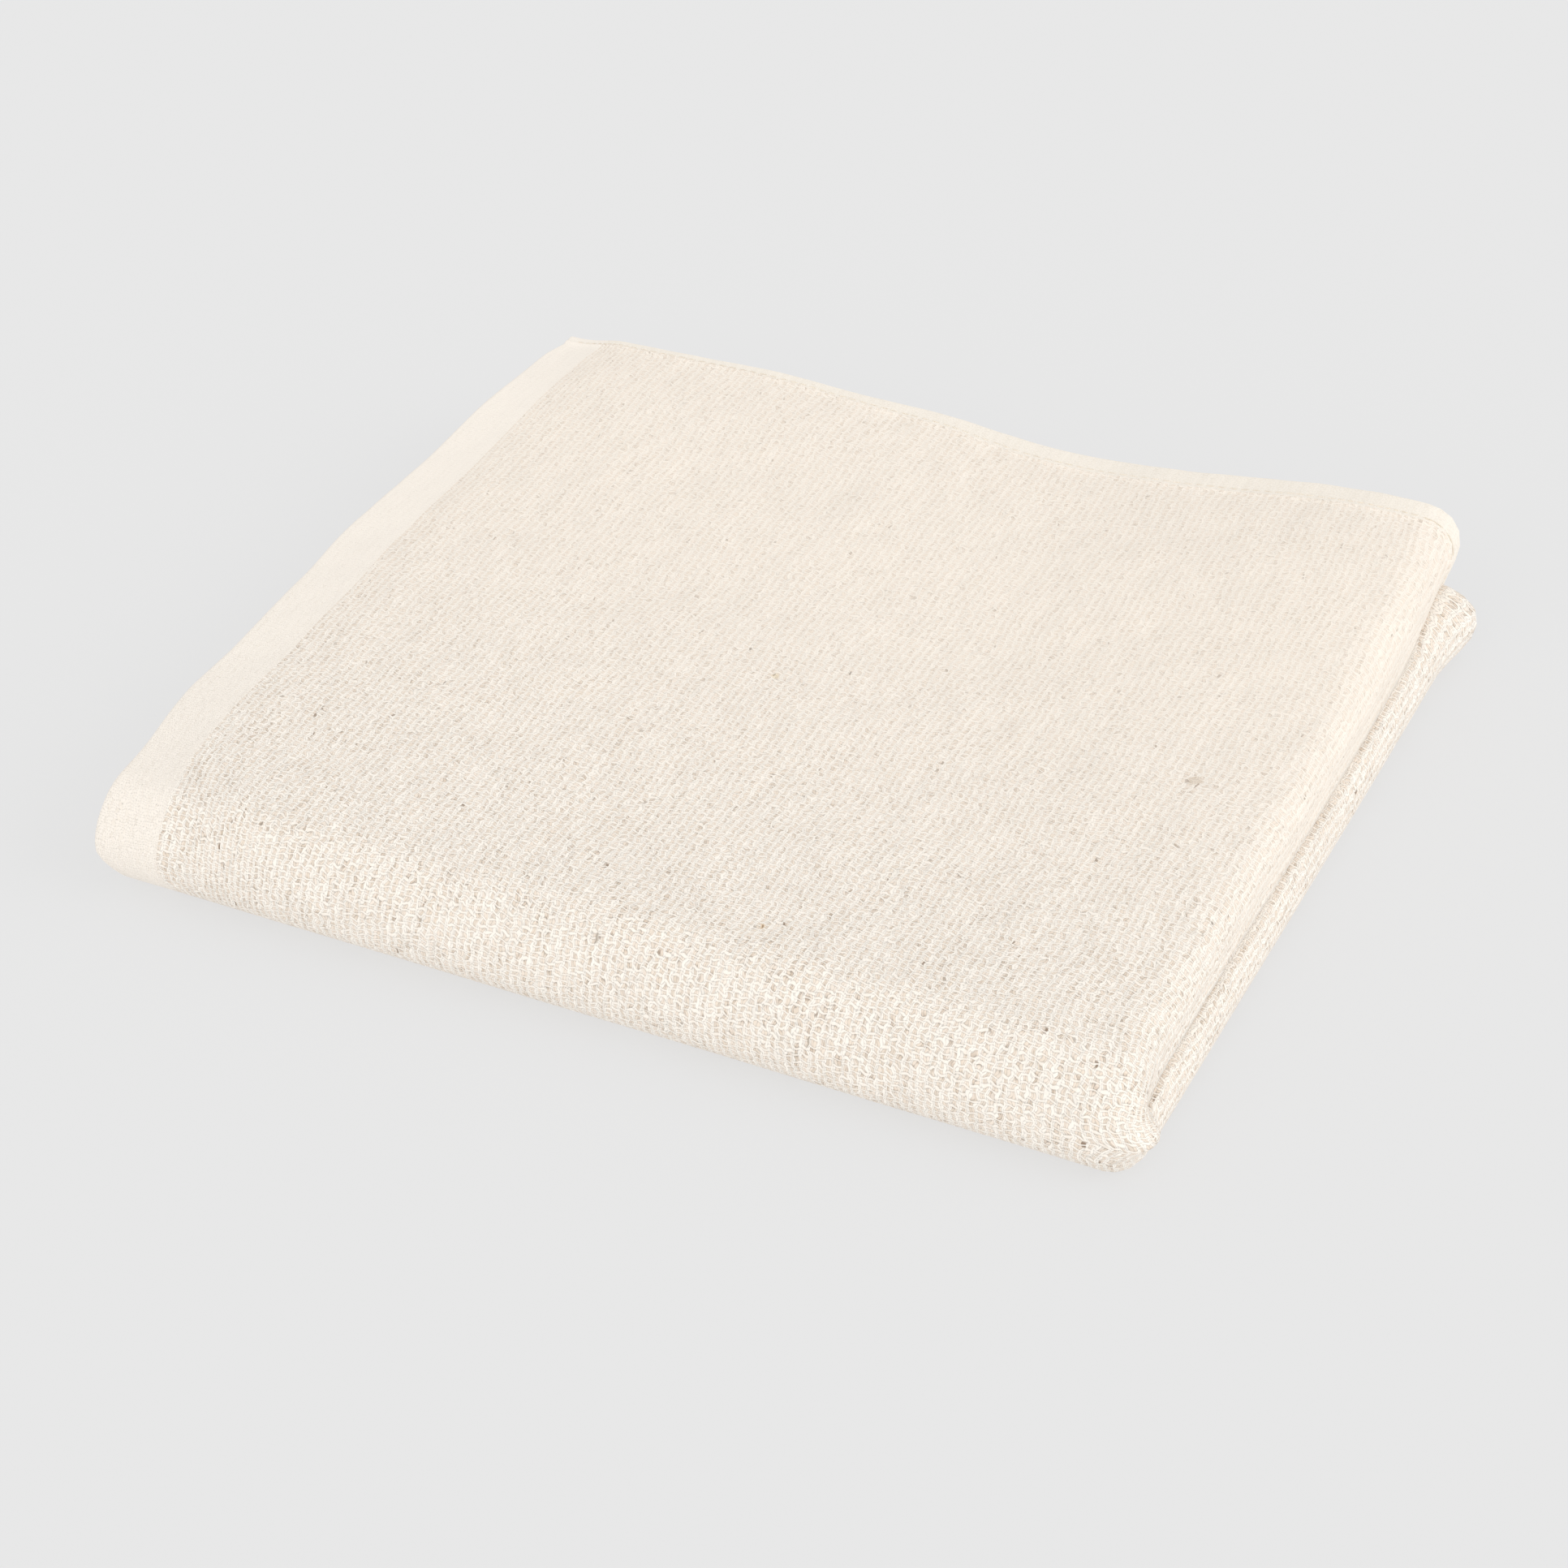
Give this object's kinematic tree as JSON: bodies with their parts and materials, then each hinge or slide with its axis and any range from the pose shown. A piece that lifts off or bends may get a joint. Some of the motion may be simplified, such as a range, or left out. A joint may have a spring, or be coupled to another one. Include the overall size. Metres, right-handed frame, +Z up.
{
  "type": "folded hand towel",
  "caption": "Woven hand towel folded in half three ways into a flat, soft rectangle, with a plain band along its woven edge and hemmed ends.",
  "frame": {"origin": "on the surface that the towel rests on, under the middle of its box", "axes": "+X from the woven edges to the folded side, +Y from the front roll to the hems, +Z up"},
  "size_m": [0.2558, 0.2246, 0.0375],
  "materials": {
    "woven_cloth": "matt crepe weave of cream and natural yarns, with a smooth cream band along the woven edge"
  },
  "bodies": {
    "root": {"towel_cloth": "woven_cloth"}
  },
  "joints": []
}
